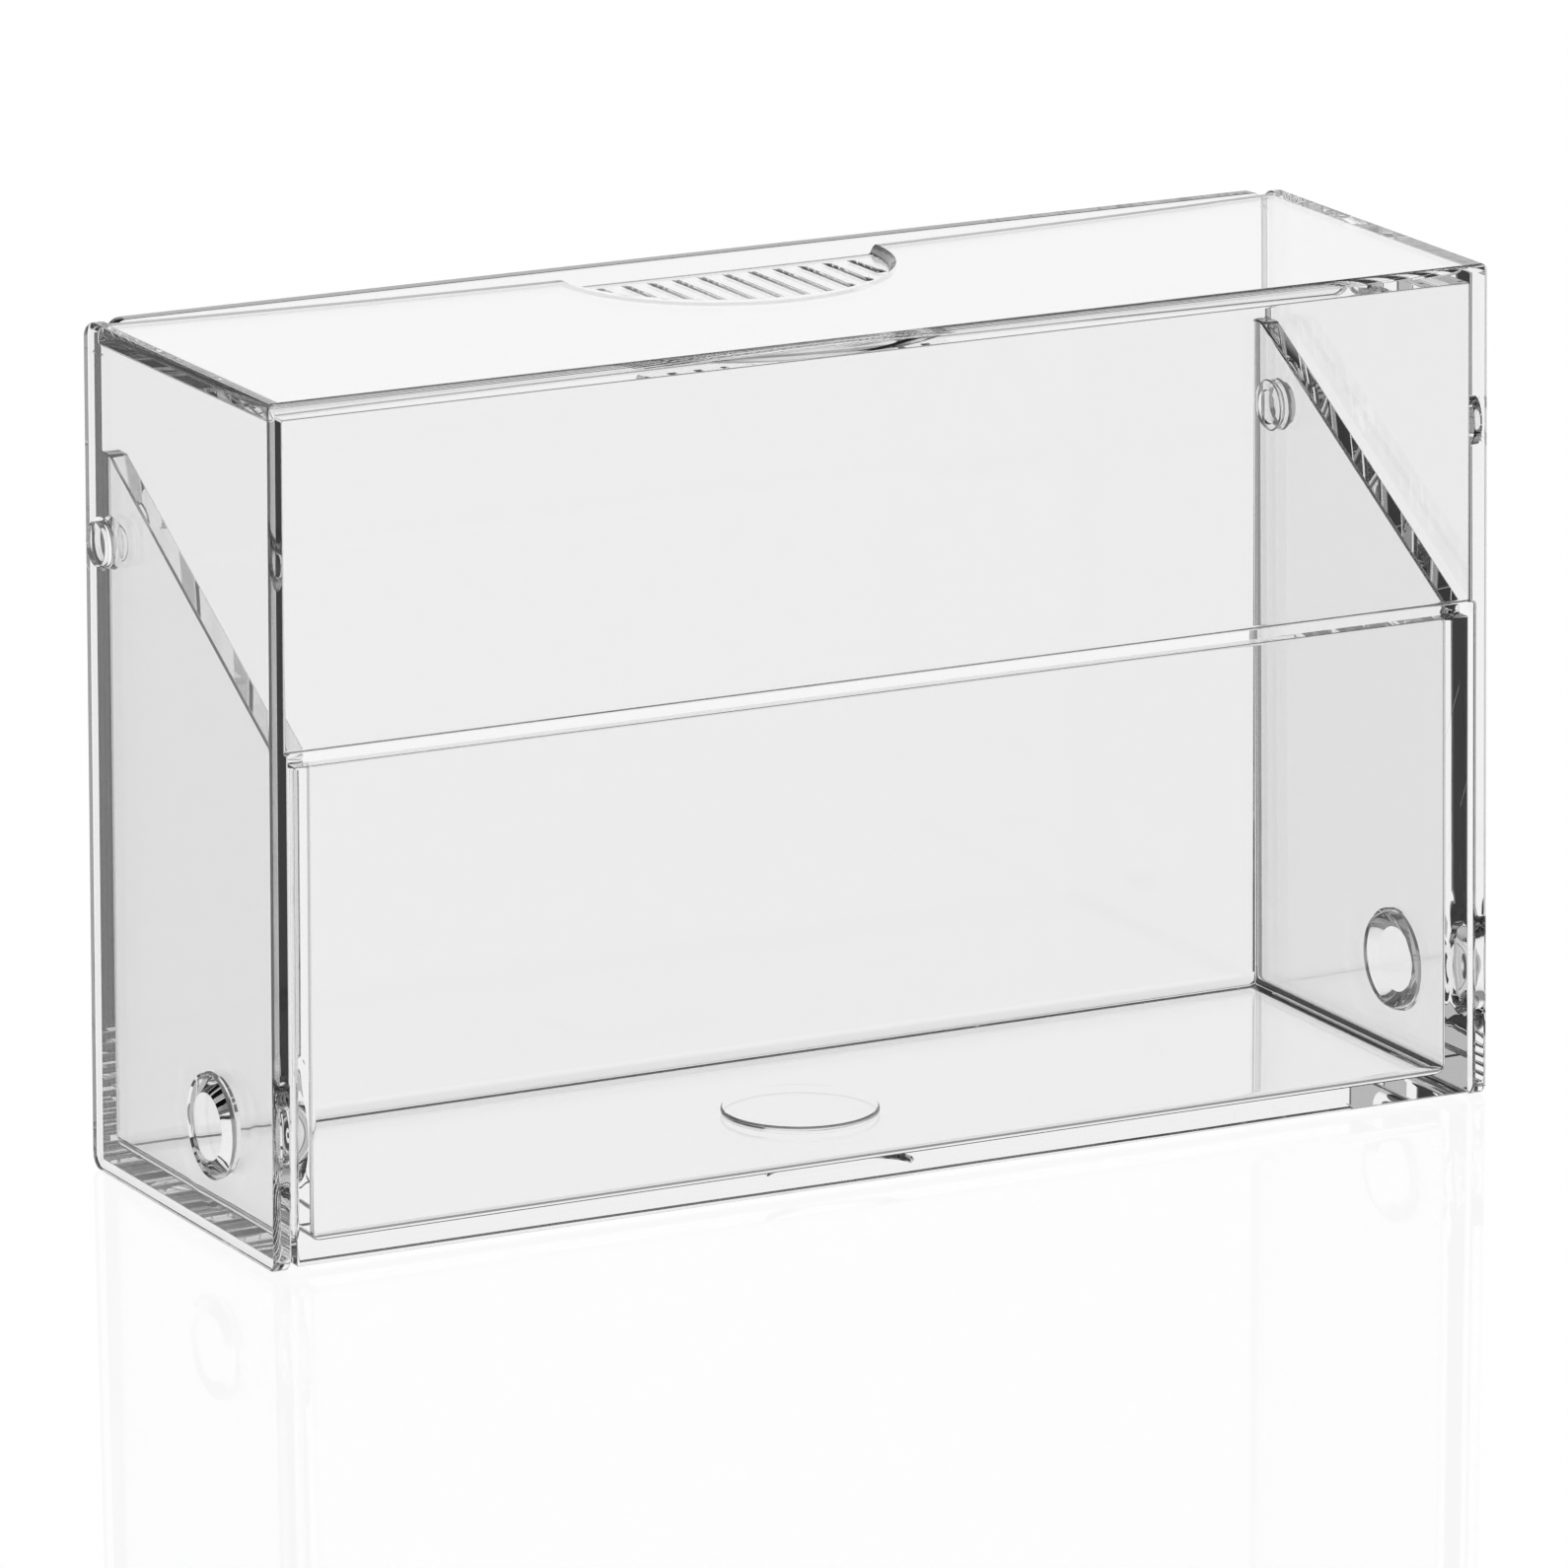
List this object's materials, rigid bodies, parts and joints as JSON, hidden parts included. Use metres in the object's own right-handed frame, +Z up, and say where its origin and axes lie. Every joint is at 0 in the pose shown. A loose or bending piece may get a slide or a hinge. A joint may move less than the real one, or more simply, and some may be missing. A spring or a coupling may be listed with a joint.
{
  "type": "card deck box",
  "caption": "Clear plastic box for a deck of cards: a low-fronted tray, with a cover that swings forward on studs low on its side walls.",
  "frame": {"origin": "on the floor under the middle of the box, at the level of the cover's lower edges", "axes": "+X along the width, the low front faces -Y, +Z up"},
  "size_m": [0.1012, 0.0322, 0.0644],
  "materials": {
    "tray_clear": "clear polished polystyrene",
    "cover_clear": "clear polished polystyrene"
  },
  "bodies": {
    "tray": {"card_tray": "tray_clear"},
    "cover": {"swing_cover": "cover_clear"}
  },
  "joints": [
    {"name": "cover_swing", "type": "hinge", "parent": "tray", "child": "cover", "pos_m": [0, -0.00485, 0.0084], "axis": [1, 0, 0], "range_deg": [0, 80]}
  ]
}
